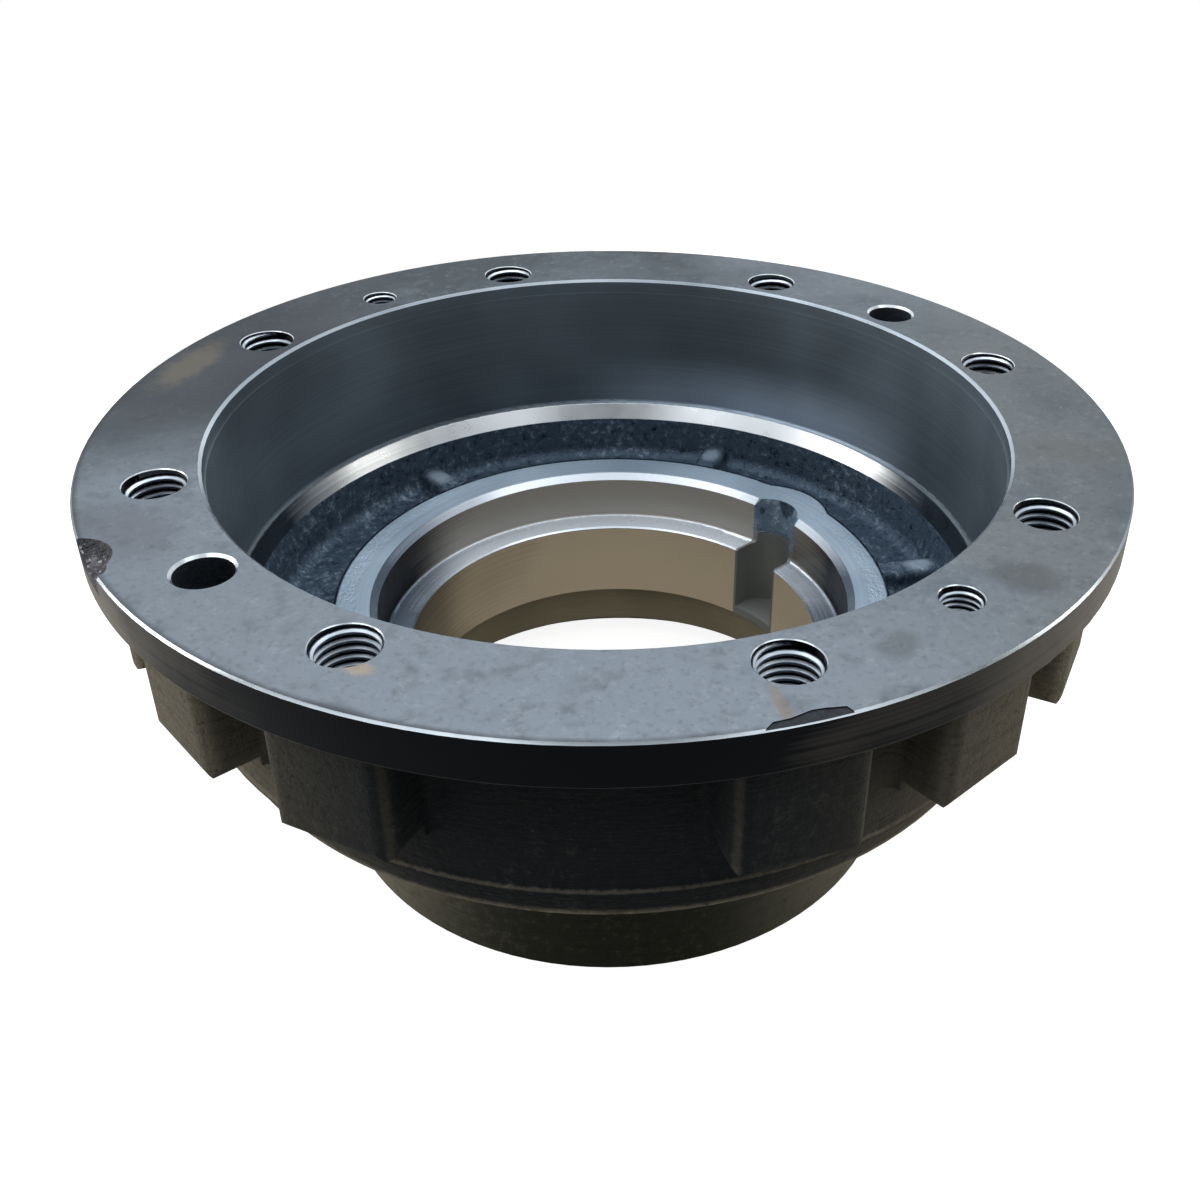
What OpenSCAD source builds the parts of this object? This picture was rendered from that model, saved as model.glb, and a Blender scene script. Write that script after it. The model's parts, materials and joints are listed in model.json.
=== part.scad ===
// Cast wheel hub with a deep machined cup under its bolting face, a raised bearing
// boss with a slot for pulling the outer bearing race, and a short neck below.
// The axis is Z. The origin is the centre of the neck's lower end face, the bolting
// face looks up, and +X passes through one of the two dowel holes.

/* [Overall] */
// Height from the neck's lower face to the bolting face
hub_h = 142.4; // [130:0.2:170]

/* [Rim] */
// Diameter of the bolting face
rim_d = 320; // [314:1:326]
// Thickness of the rim
rim_t = 13.3; // [11:0.1:18]
// Turned chamfer on the rim's upper edge
rim_chamfer = 0.6; // [0.3:0.1:1.2]
// Rounding of the rim's lower edge
rim_round = 1; // [0.5:0.1:1.2]
// Fillet between the rim's underside and the drum
rim_fillet = 6; // [5:0.5:8]

/* [Drum] */
// Outer diameter of the drum above the mould parting line
drum_d = 274; // [272:0.5:280]
// How much further in the drum's wall is just below the parting line
parting_step = 2.6; // [1.5:0.1:3]
// Outer diameter of the drum at its lower edge
drum_foot_d = 265.6; // [262:0.2:267]
// Depth of the mould parting line below the bolting face
parting_depth = 69; // [67:0.5:72]
// How far the parting ridge stands out from the drum
parting_ridge = 0.7; // [0.4:0.1:1.4]
// Width of the parting ridge
parting_w = 1.8; // [1.2:0.1:3]
// Rounding of the drum's lower edge
foot_round = 6; // [4:0.5:7]

/* [Pads] */
// Width of the thickened pad behind each hole of the bolting face
pad_w = 37; // [30:0.5:39]
// Depth of the pads' lower end below the bolting face
pad_depth = 52.6; // [47:0.2:56]
// How far a pad's outer face stays inside the rim's edge
pad_inset = 7; // [6:0.1:9]
// Rounding along a pad's outer edges
pad_round = 5.5; // [3:0.5:7]
// Rounding of a pad's lower corners
pad_corner = 6; // [4:0.5:8]
// Rounding under a pad's foot
pad_foot_round = 4; // [2:0.5:5]
// Fillet between a pad's sides and the drum
pad_fillet = 4; // [2:0.5:5]

/* [Cup] */
// Diameter of the machined cup
cup_d = 248; // [244:0.5:250]
// Depth of the cup's straight wall
cup_depth = 53; // [50:0.5:54]
// How much wider the lead-in at the cup's mouth is
leadin_extra = 1.2; // [0.6:0.1:2]
// Depth of the lead-in
leadin_depth = 5; // [3:0.5:8]
// Chamfer at the cup's mouth
cup_chamfer = 0.9; // [0.4:0.1:1.5]
// Radius in the corner at the foot of the cup wall
cup_corner = 1.5; // [0.5:0.1:2.5]
// Height of the turned cone under the cup
cone_h = 5.5; // [4:0.1:7]
// How far the turned cone runs inwards
cone_in = 3.1; // [1.5:0.1:4]

/* [Trough] */
// Depth of the trough's floor below the bolting face
trough_depth = 74; // [72:0.2:76]
// Diameter of the trough's outer wall at the floor
trough_d = 235; // [230:0.5:236]
// Thickness of the web between the floor and the underside
web_t = 10.9; // [9:0.1:16]
// Fillet round the trough's floor
trough_fillet = 5; // [3:0.5:6]
// Number of low ribs across the trough
rib_count = 6; // [4:1:8]
// Width of a rib
rib_w = 9.5; // [7:0.5:12]
// Height of a rib above the floor
rib_h = 7; // [6:0.2:8]
// Direction of the first rib
rib_turn = 28.7; // [28:0.1:32]

/* [Boss] */
// Diameter of the boss at its top
boss_d = 188.6; // [184:0.2:192]
// Depth of the boss's top below the bolting face
boss_depth = 63.9; // [62:0.1:65]
// How much wider the boss is at the trough's floor
boss_draft = 2.4; // [1:0.1:4]
// Rounding of the boss's upper edge
boss_round = 1.5; // [0.5:0.1:2]
// Radius of the swelling round the slot
swell_r = 23.5; // [20:0.5:26]

/* [Neck and bearing seats] */
// Outer diameter of the neck
neck_d = 196; // [194:0.2:202]
// Fillet between the neck and the web
neck_fillet = 8; // [4:0.5:12]
// Chamfer round the neck's lower edge
neck_chamfer = 0.4; // [0.2:0.1:1]
// Diameter of both bearing seats
seat_d = 160; // [156:0.5:164]
// Depth of the upper seat below the boss's top
upper_seat = 18.2; // [16:0.1:24]
// Height of the lower seat's shoulder above the neck's lower face
lower_seat = 30.4; // [26:0.1:34]
// Diameter of the seal bore in the neck's mouth
seal_d = 189; // [184:0.5:190]
// Depth of the seal bore
seal_depth = 9.5; // [7:0.5:13]
// Chamfer at the mouth of the lower seat
lower_chamfer = 1.2; // [0.5:0.1:2]
// Diameter of the land between the two seats
land_d = 141; // [136:0.5:146]
// Chamfer at the mouth of the upper seat
seat_chamfer = 2.3; // [1:0.1:3]
// Radius in the corner of each seat
seat_corner = 1.6; // [0.8:0.1:3]
// Chamfer on the edges of the land
land_chamfer = 0.6; // [0.3:0.1:1.2]

/* [Slot] */
// Width of the slot behind the upper bearing race
slot_w = 19; // [14:0.5:22]
// Distance from the axis to the back of the slot
slot_back = 84.5; // [83:0.1:86]
// Depth of the slot below the boss's top
slot_depth = 44.3; // [38:0.1:50]
// Depth of the rough pocket at the slot's head
pocket_depth = 13.5; // [8:0.5:16]
// How much wider the rough pocket is on each side
pocket_extra = 0.8; // [0.4:0.1:1.5]

/* [Holes in the bolting face] */
// Diameter of the circle that all the holes lie on
bolt_circle = 275; // [274:0.5:276]
// Number of tapped wheel holes, evenly spaced between the dowel and small holes
wheel_hole_count = 8; // [4:4:8]
// Thread diameter of the wheel holes
wheel_hole_d = 18; // [14:1:20]
// Full depth of the wheel holes
wheel_hole_depth = 36; // [28:0.5:38]
// Countersink of the tapped holes beyond the thread, per side
tapped_sink = 0.25; // [0.1:0.05:0.6]
// Diameter of the two dowel holes
dowel_d = 16; // [12:0.5:18]
// Depth of the dowel holes
dowel_depth = 26; // [20:0.5:30]
// Chamfer at the mouth of the dowel holes
dowel_chamfer = 0.8; // [0.3:0.1:1.2]
// Thread diameter of the two small tapped holes
jack_d = 12; // [8:1:14]
// Full depth of the small tapped holes
jack_depth = 24; // [18:0.5:28]

/* [Damage] */
// Radius of the broken scoop in the rim's edge
chip_r = 15; // [10:0.5:17]
// Direction of the broken scoop
chip_turn = 170.2; // [166:0.1:174]
// Depth of the low spot that the facing cut left rough
low_spot = 0.3; // [0.1:0.05:0.4]
// Direction of the low spot
low_spot_turn = -114.2; // [-118:0.1:-108]

/* [Hidden] */
$fn = 180;
cut = 1;
cast_colour = "#4d525a";
turned_colour = "#8f969e";
rim_r = rim_d / 2;
drum_r = drum_d / 2;
foot_r = drum_foot_d / 2;
cup_r = cup_d / 2;
mouth_r = cup_r + leadin_extra / 2;
cone_r = cup_r - cup_corner - cone_in;
trough_r = trough_d / 2;
boss_r = boss_d / 2;
boss_foot_r = boss_r + boss_draft / 2;
neck_r = neck_d / 2;
seat_r = seat_d / 2;
land_r = land_d / 2;
slot_r = slot_w / 2;
circle_r = bolt_circle / 2;
rim_z = hub_h - rim_t;
cup_z = hub_h - cup_depth;
cone_z = cup_z - cone_h;
trough_z = hub_h - trough_depth;
under_z = trough_z - web_t;
boss_z = hub_h - boss_depth;
parting_z = hub_h - parting_depth;
pad_z = hub_h - pad_depth;
seat_z = boss_z - upper_seat;
slot_z = boss_z - slot_depth;
pocket_z = boss_z - pocket_depth;
pad_face = rim_r - pad_inset;
seal_r = seal_d / 2;
wheel_turns = [for (i = [0 : wheel_hole_count - 1]) (i + 0.5) * 360 / wheel_hole_count];
dowel_turns = [0, 180];
jack_turns = [90, 270];
point_angle = 59;
rib_round = 2.5;
rib_fillet = 3;

// The sliver between a square corner and the arc that rounds it; sr and sz give
// the side of the corner on which the arc lies.
module spandrel(r, z, rad, sr, sz) {
    difference() {
        translate([min(r, r + sr * rad), min(z, z + sz * rad)]) square(rad);
        translate([r + sr * rad, z + sz * rad]) circle(rad);
    }
}

// Rim, drum and neck as one turned blank, still solid inside.
module blank() {
    color(cast_colour)
    rotate_extrude() difference() {
        union() {
            translate([0, rim_z]) square([rim_r, rim_t]);
            polygon([
                [0, rim_z + cut], [drum_r, rim_z + cut],
                [drum_r, parting_z + parting_w],
                [drum_r + parting_ridge, parting_z + parting_w / 2],
                [drum_r + parting_ridge, parting_z - parting_w / 2],
                [drum_r - parting_step, parting_z - parting_w],
                [foot_r, under_z + foot_round], [foot_r, under_z], [0, under_z]
            ]);
            square([neck_r, under_z + cut]);
            spandrel(drum_r, rim_z, rim_fillet, 1, -1);
            spandrel(neck_r, under_z, neck_fillet, 1, -1);
        }
        spandrel(foot_r, under_z, foot_round, -1, 1);
        spandrel(rim_r, rim_z, rim_round, -1, 1);
        polygon([[rim_r - rim_chamfer, hub_h], [rim_r + cut, hub_h + cut],
                 [rim_r + cut, hub_h - rim_chamfer - cut], [rim_r, hub_h - rim_chamfer]]);
        polygon([[neck_r - neck_chamfer, 0], [neck_r, neck_chamfer],
                 [neck_r + cut, neck_chamfer], [neck_r + cut, -cut], [neck_r - neck_chamfer, -cut]]);
    }
}

// One thickened pad, on the +X side: its front view and its plan crossed, the edge
// under its foot rounded, and a fillet down each side.
module pad() {
    height = rim_z - pad_z + cut;
    color(cast_colour)
    difference() {
        intersection() {
            translate([cup_r + cut, 0, pad_z]) rotate([90, 0, 90])
                linear_extrude(pad_face) difference() {
                    translate([-pad_w / 2, 0]) square([pad_w, height]);
                    spandrel(pad_w / 2, 0, pad_corner, -1, 1);
                    spandrel(-pad_w / 2, 0, pad_corner, 1, 1);
                }
            translate([0, 0, pad_z - cut]) linear_extrude(height + cut) difference() {
                translate([0, -pad_w]) square([pad_face, 2 * pad_w]);
                pad_edge(1);
                pad_edge(-1);
            }
        }
        translate([0, pad_w, 0]) rotate([90, 0, 0]) linear_extrude(2 * pad_w)
            spandrel(pad_face, pad_z, pad_foot_round, -1, 1);
    }
    for (side = [1, -1]) pad_side_fillet(side);
}

// What comes off a pad's outer edge in its plan.
module pad_edge(side) {
    spandrel(pad_face, side * pad_w / 2, pad_round, -1, -side);
    translate([pad_face - pad_round, side > 0 ? pad_w / 2 : -pad_w])
        square([pad_round + cut, pad_w / 2]);
}

// Fillet down the corner between a pad's side and the drum, its lower end carried
// round the pad's lower corner.
module pad_side_fillet(side) {
    cy = pad_w / 2 + pad_fillet;
    cx = sqrt(pow(drum_r + pad_fillet, 2) - pow(cy, 2));
    turn = asin(cy / (drum_r + pad_fillet));
    corner_z = pad_z + pad_corner;
    color(cast_colour)
    mirror([0, side > 0 ? 0 : 1, 0]) intersection() {
        translate([0, 0, pad_z]) linear_extrude(rim_z - pad_z + cut) difference() {
            polygon([
                [cx - 2 * pad_fillet, pad_w / 2 - cut], [cx, pad_w / 2 - cut], [cx, pad_w / 2],
                [cx, cy], [drum_r * cos(turn), drum_r * sin(turn)],
                [drum_r * cos(turn) - pad_fillet, drum_r * sin(turn)]
            ]);
            translate([cx, cy]) circle(pad_fillet);
        }
        translate([cup_r + cut, pad_w / 2 - pad_corner, corner_z]) rotate([90, 0, 90])
            linear_extrude(pad_face) {
                circle(pad_corner + pad_fillet);
                square([pad_corner + pad_fillet, rim_z - corner_z + 2 * cut]);
            }
    }
}

// The cup, its lead-in and cone, and the trough round the boss.
module cup_and_trough() {
    color(turned_colour)
    rotate_extrude() {
        difference() {
            translate([0, cup_z]) square([cup_r, cup_depth + cut]);
            spandrel(cup_r, cup_z, cup_corner, -1, 1);
        }
        translate([0, hub_h - leadin_depth]) square([mouth_r, leadin_depth + cut]);
        polygon([[0, hub_h - cup_chamfer], [mouth_r, hub_h - cup_chamfer],
                 [mouth_r + cup_chamfer + cut, hub_h + cut], [0, hub_h + cut]]);
        difference() {
            polygon([
                [0, cup_z + cup_corner], [cup_r - cup_corner, cup_z + cup_corner],
                [cup_r - cup_corner, cup_z], [cone_r, cone_z],
                [trough_r, trough_z + trough_fillet], [trough_r, trough_z],
                [boss_foot_r, trough_z], [boss_foot_r, trough_z + trough_fillet],
                [boss_r, boss_z], [0, boss_z]
            ]);
            spandrel(trough_r, trough_z, trough_fillet, -1, 1);
            spandrel(boss_foot_r, trough_z, trough_fillet, 1, 1);
        }
        spandrel(boss_r, boss_z, boss_round, -1, -1);
    }
}

// Swelling of the boss round the head of the slot.
module swelling() {
    color(cast_colour)
    translate([slot_back - slot_r, 0, 0]) rotate_extrude() difference() {
        union() {
            polygon([
                [0, trough_z - cut], [swell_r + boss_draft / 2, trough_z - cut],
                [swell_r + boss_draft / 2, trough_z + trough_fillet], [swell_r, boss_z], [0, boss_z]
            ]);
            spandrel(swell_r + boss_draft / 2, trough_z, trough_fillet, 1, 1);
        }
        spandrel(swell_r, boss_z, boss_round, -1, -1);
    }
}

// Low cast ribs across the trough, sunk into both its walls.
module ribs() {
    span = trough_r - boss_r + 2 * cut;
    color(cast_colour)
    for (i = [0 : rib_count - 1])
        rotate([0, 0, rib_turn + i * 360 / rib_count])
            translate([boss_r - cut, 0, trough_z]) rotate([90, 0, 90])
                linear_extrude(span) difference() {
                    union() {
                        translate([-rib_w / 2, -cut]) square([rib_w, rib_h + cut]);
                        spandrel(rib_w / 2, 0, rib_fillet, 1, 1);
                        spandrel(-rib_w / 2, 0, rib_fillet, -1, 1);
                    }
                    spandrel(rib_w / 2, rib_h, rib_round, -1, -1);
                    spandrel(-rib_w / 2, rib_h, rib_round, 1, -1);
                }
}

// Both bearing seats, the land between them and the turned edges.
module bearing_bores() {
    color(turned_colour)
    rotate_extrude() {
        translate([0, -cut]) square([land_r, boss_z + 2 * cut]);
        difference() {
            translate([0, seat_z]) square([seat_r, upper_seat + cut]);
            spandrel(seat_r, seat_z, seat_corner, -1, 1);
        }
        polygon([[0, boss_z - seat_chamfer], [seat_r, boss_z - seat_chamfer],
                 [seat_r + seat_chamfer + cut, boss_z + cut], [0, boss_z + cut]]);
        polygon([[0, seat_z - land_chamfer], [land_r, seat_z - land_chamfer],
                 [land_r + land_chamfer, seat_z], [0, seat_z]]);
        difference() {
            translate([0, -cut]) square([seat_r, lower_seat + cut]);
            spandrel(seat_r, lower_seat, seat_corner, -1, -1);
        }
        polygon([[0, seal_depth], [seat_r + lower_chamfer, seal_depth],
                 [seat_r, seal_depth + lower_chamfer], [0, seal_depth + lower_chamfer]]);
        translate([0, -cut]) square([seal_r, seal_depth + cut]);
        polygon([[0, lower_seat], [land_r + land_chamfer, lower_seat],
                 [land_r, lower_seat + land_chamfer], [0, lower_seat + land_chamfer]]);
    }
}

// Milled slot behind the upper race, with the rough cast pocket at its head.
module slot() {
    slot_x = slot_back - slot_r;
    pocket_r = slot_r + pocket_extra;
    color(turned_colour) {
        translate([slot_x, 0, slot_z]) cylinder(h = slot_depth + cut, r = slot_r);
        translate([land_r - slot_r, -slot_r, slot_z])
            cube([slot_x - land_r + slot_r, slot_w, slot_depth + cut]);
    }
    color(cast_colour) {
        translate([slot_x + pocket_extra, 0, pocket_z])
            cylinder(h = pocket_depth + cut, r1 = slot_r, r2 = pocket_r + pocket_extra);
        translate([land_r - slot_r, -pocket_r, pocket_z])
            cube([slot_x + pocket_extra - land_r + slot_r, 2 * pocket_r, pocket_depth + cut]);
    }
}

// A drilled hole from the bolting face with a drill point and a countersink.
module drilled(d, depth, sink) {
    point_h = d / 2 / tan(point_angle);
    translate([circle_r, 0, hub_h]) rotate_extrude()
        polygon([[0, -depth - point_h], [d / 2, -depth], [d / 2, -sink],
                 [d / 2 + sink + cut, cut], [0, cut]]);
}

// All holes in the bolting face.
module face_holes() {
    color(turned_colour) {
        for (turn = wheel_turns)
            rotate([0, 0, turn]) drilled(wheel_hole_d, wheel_hole_depth, tapped_sink);
        for (turn = dowel_turns) rotate([0, 0, turn]) drilled(dowel_d, dowel_depth, dowel_chamfer);
        for (turn = jack_turns) rotate([0, 0, turn]) drilled(jack_d, jack_depth, tapped_sink);
    }
}

// Broken scoop in the rim's edge and the low spot that the facing cut missed.
module damage() {
    scoop_r = chip_r * 0.45;
    color(cast_colour) {
        rotate([0, 0, chip_turn]) {
            translate([rim_r + 0.23 * chip_r, 0, hub_h + 0.7 * chip_r]) sphere(chip_r);
            translate([rim_r + scoop_r / 4, chip_r / 2, hub_h + scoop_r / 2]) sphere(scoop_r);
        }
        rotate([0, 0, low_spot_turn]) translate([rim_r, 0, hub_h - low_spot])
            linear_extrude(low_spot + cut) polygon([
                [1, -12], [-0.9, -10.3], [-2.7, -8], [-2.8, -3.7], [-4.1, 1.8],
                [-3.9, 5.2], [-3, 10.1], [-1.1, 10.8], [1, 11.5]
            ]);
    }
}

module wheel_hub() {
    difference() {
        union() {
            difference() {
                union() {
                    blank();
                    for (turn = concat(wheel_turns, dowel_turns, jack_turns))
                        rotate([0, 0, turn]) pad();
                }
                cup_and_trough();
            }
            swelling();
            ribs();
        }
        bearing_bores();
        slot();
        face_holes();
        damage();
    }
}

wheel_hub();
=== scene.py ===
"""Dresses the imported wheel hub: its ground, turned and as-cast surfaces, its threads, stains and damage."""

import enum
import json
import logging
import math
from dataclasses import dataclass, field
from functools import cached_property

import bmesh
import bpy
from mathutils import Matrix, Vector


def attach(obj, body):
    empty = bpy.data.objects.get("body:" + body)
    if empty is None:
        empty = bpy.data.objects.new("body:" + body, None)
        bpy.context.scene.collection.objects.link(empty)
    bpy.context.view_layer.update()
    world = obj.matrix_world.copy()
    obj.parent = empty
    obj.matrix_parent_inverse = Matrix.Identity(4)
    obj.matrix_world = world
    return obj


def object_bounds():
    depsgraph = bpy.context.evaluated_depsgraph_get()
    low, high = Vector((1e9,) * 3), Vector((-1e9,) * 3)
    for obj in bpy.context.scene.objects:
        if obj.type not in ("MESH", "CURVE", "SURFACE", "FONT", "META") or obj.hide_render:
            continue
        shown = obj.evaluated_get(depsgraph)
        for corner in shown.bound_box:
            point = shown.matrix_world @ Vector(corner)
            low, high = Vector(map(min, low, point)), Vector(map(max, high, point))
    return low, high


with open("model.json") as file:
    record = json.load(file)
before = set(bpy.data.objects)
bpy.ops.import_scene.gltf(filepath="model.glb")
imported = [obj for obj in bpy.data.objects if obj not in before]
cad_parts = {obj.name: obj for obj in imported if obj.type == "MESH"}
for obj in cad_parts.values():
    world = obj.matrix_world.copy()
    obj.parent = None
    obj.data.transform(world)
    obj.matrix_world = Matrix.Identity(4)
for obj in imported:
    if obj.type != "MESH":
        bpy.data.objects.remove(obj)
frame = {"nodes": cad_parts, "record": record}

CAD_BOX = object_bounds()
MM = 0.001
WHITE = (1.0, 1.0, 1.0)
log = logging.getLogger("wheel_hub")

Rgb = tuple[float, float, float]
Point = tuple[float, float, float]
Socket = bpy.types.NodeSocket


def mount(name: str) -> dict:
    """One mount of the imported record, by its name."""
    return next(row for row in frame["record"]["mounts"] if row["name"] == name)


def shade(red: int, green: int, blue: int) -> Rgb:
    """A colour in linear light from display values of 0 to 255.

    Args:
        red, green, blue: the display values.

    Returns:
        The linear colour.
    """
    def linear(value: float) -> float:
        """One channel in linear light."""
        part = value / 255
        return part / 12.92 if part <= 0.04045 else ((part + 0.055) / 1.055) ** 2.4

    return (linear(red), linear(green), linear(blue))


class Field:
    """A number over a surface: one socket of a material, with the usual operators."""

    def __init__(self, graph: "Graph", socket: Socket) -> None:
        """Keeps the socket and the graph that it belongs to."""
        self.graph = graph
        self.socket = socket

    def _with(self, operation: str, *others: "Field | float", clamp: bool = False) -> "Field":
        """The field put through one Math node, itself first."""
        return self.graph.math(operation, self, *others, clamp=clamp)

    def __add__(self, other: "Field | float") -> "Field":
        """Sum."""
        return self._with("ADD", other)

    __radd__ = __add__

    def __sub__(self, other: "Field | float") -> "Field":
        """Difference."""
        return self._with("SUBTRACT", other)

    def __rsub__(self, other: float) -> "Field":
        """Difference from a number."""
        return self.graph.math("SUBTRACT", other, self)

    def __mul__(self, other: "Field | float") -> "Field":
        """Product."""
        return self._with("MULTIPLY", other)

    __rmul__ = __mul__

    def __truediv__(self, other: "Field | float") -> "Field":
        """Quotient."""
        return self._with("DIVIDE", other)

    def __pow__(self, other: float) -> "Field":
        """Power."""
        return self._with("POWER", other)

    def __abs__(self) -> "Field":
        """Size without sign."""
        return self._with("ABSOLUTE")

    def __or__(self, other: "Field | float") -> "Field":
        """The larger of two masks."""
        return self._with("MAXIMUM", other)

    def clipped(self) -> "Field":
        """Held between 0 and 1."""
        return self._with("ADD", 0.0, clamp=True)

    def centred(self) -> "Field":
        """A noise moved to run about evenly to both sides of 0."""
        return self - 0.5

    def rising(self, low: float, high: float) -> "Field":
        """A smooth step from 0 at low to 1 at high.

        Args:
            low: where it leaves 0; larger than high for a falling step.
            high: where it reaches 1.

        Returns:
            The step.
        """
        made = self.graph.node(
            "ShaderNodeMapRange", {"interpolation_type": "SMOOTHSTEP"},
            {"Value": self, "From Min": low, "From Max": high})
        return Field(self.graph, made.outputs["Result"])

    def above(self, edge: float, soft: float) -> "Field":
        """1 above an edge and 0 below it; soft is half the width of the step."""
        return self.rising(edge - soft, edge + soft)

    def below(self, edge: float, soft: float) -> "Field":
        """1 below an edge and 0 above it; soft is half the width of the step."""
        return self.rising(edge + soft, edge - soft)

    def within(self, low: float, high: float, soft: float) -> "Field":
        """1 between two edges and 0 outside; soft is half the width of each step."""
        return self.above(low, soft) * self.below(high, soft)

    def near(self, middle: float, reach: float, soft: float) -> "Field":
        """1 up to a reach on both sides of a middle and 0 beyond; soft is half the width of the step."""
        return abs(self - middle).below(reach, soft)


@dataclass(frozen=True)
class Grain:
    """A noise: the size of its blotches in millimetres, its octaves and how strong the finer ones are."""

    size: float
    octaves: float = 1.0
    fine: float = 0.55


class Graph:
    """The node tree of one material or world."""

    def __init__(self, owner: bpy.types.Material | bpy.types.World) -> None:
        """Takes the owner's tree and empties it."""
        owner.use_nodes = True
        self.tree = owner.node_tree
        self.tree.nodes.clear()

    def node(self, kind: str, settings: dict | None = None, inputs: dict | None = None) -> bpy.types.Node:
        """Makes any node.

        Args:
            kind: the node's type.
            settings: its settings by name, set first.
            inputs: values, fields or sockets for its inputs by name or number.

        Returns:
            The node.
        """
        made = self.tree.nodes.new(kind)
        for name, value in (settings or {}).items():
            setattr(made, name, value)
        for name, value in (inputs or {}).items():
            socket = made.inputs[name]
            if isinstance(value, Field):
                value = value.socket
            if isinstance(value, Socket):
                self.tree.links.new(value, socket)
            elif socket.type == "RGBA":
                socket.default_value = (*value, 1.0)
            else:
                socket.default_value = value
        return made

    def math(self, operation: str, *values: "Field | float", clamp: bool = False) -> Field:
        """One Math node on fields and numbers.

        Args:
            operation: the node's operation.
            values: its inputs in order.
            clamp: whether the result is held between 0 and 1.

        Returns:
            The result.
        """
        made = self.node("ShaderNodeMath", {"operation": operation, "use_clamp": clamp},
                         dict(enumerate(values)))
        return Field(self, made.outputs[0])

    def mix(self, first: Rgb | Socket, second: Rgb | Socket, share: Field | float) -> Socket:
        """Two colours mixed.

        Args:
            first, second: colours or colour sockets.
            share: how much of the second.

        Returns:
            The mixed colour's socket.
        """
        made = self.node("ShaderNodeMix", {"data_type": "RGBA"}, {0: share, 6: first, 7: second})
        return made.outputs[2]

    def blend(self, first: Field | float, second: Field | float, share: Field) -> Field:
        """Two numbers mixed.

        Args:
            first, second: the numbers.
            share: how much of the second.

        Returns:
            The mixed number.
        """
        made = self.node("ShaderNodeMix", {"data_type": "FLOAT"}, {0: share, 2: first, 3: second})
        return Field(self, made.outputs[0])

    def noise(self, place: Socket, grain: Grain) -> Field:
        """Even noise, about 0 to 1.

        Args:
            place: a position in millimetres.
            grain: its size and octaves.

        Returns:
            The noise.
        """
        made = self.node("ShaderNodeTexNoise", {"noise_dimensions": "3D"}, {
            "Vector": place, "Scale": 1.0 / grain.size, "Detail": grain.octaves, "Roughness": grain.fine})
        return Field(self, made.outputs["Fac"])

    def surface(self, look: "Look", height: Field, specular: float = 0.5) -> None:
        """Ends a material in its shader.

        Args:
            look: colour, roughness and metal.
            height: fine relief in millimetres.
            specular: how strongly what isn't metal shines.
        """
        bump = self.node("ShaderNodeBump", {}, {"Strength": 1.0, "Distance": MM, "Height": height})
        shader = self.node("ShaderNodeBsdfPrincipled", {}, {
            "Base Color": look.colour, "Roughness": look.rough, "Metallic": look.metal,
            "Specular IOR Level": specular, "Normal": bump.outputs["Normal"]})
        self.node("ShaderNodeOutputMaterial", {}, {"Surface": shader.outputs[0]})


@dataclass
class Look:
    """What a surface shows at a place: colour, roughness and metal."""

    colour: Socket | Rgb
    rough: Field | float
    metal: Field | float

    def under(self, graph: Graph, top: "Look", mask: Field) -> "Look":
        """This look with another laid over it where a mask is 1.

        Args:
            graph: the material's graph.
            top: the look laid over.
            mask: where it shows.

        Returns:
            The joint look.
        """
        return Look(graph.mix(self.colour, top.colour, mask), graph.blend(self.rough, top.rough, mask),
                    graph.blend(self.metal, top.metal, mask))


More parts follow.
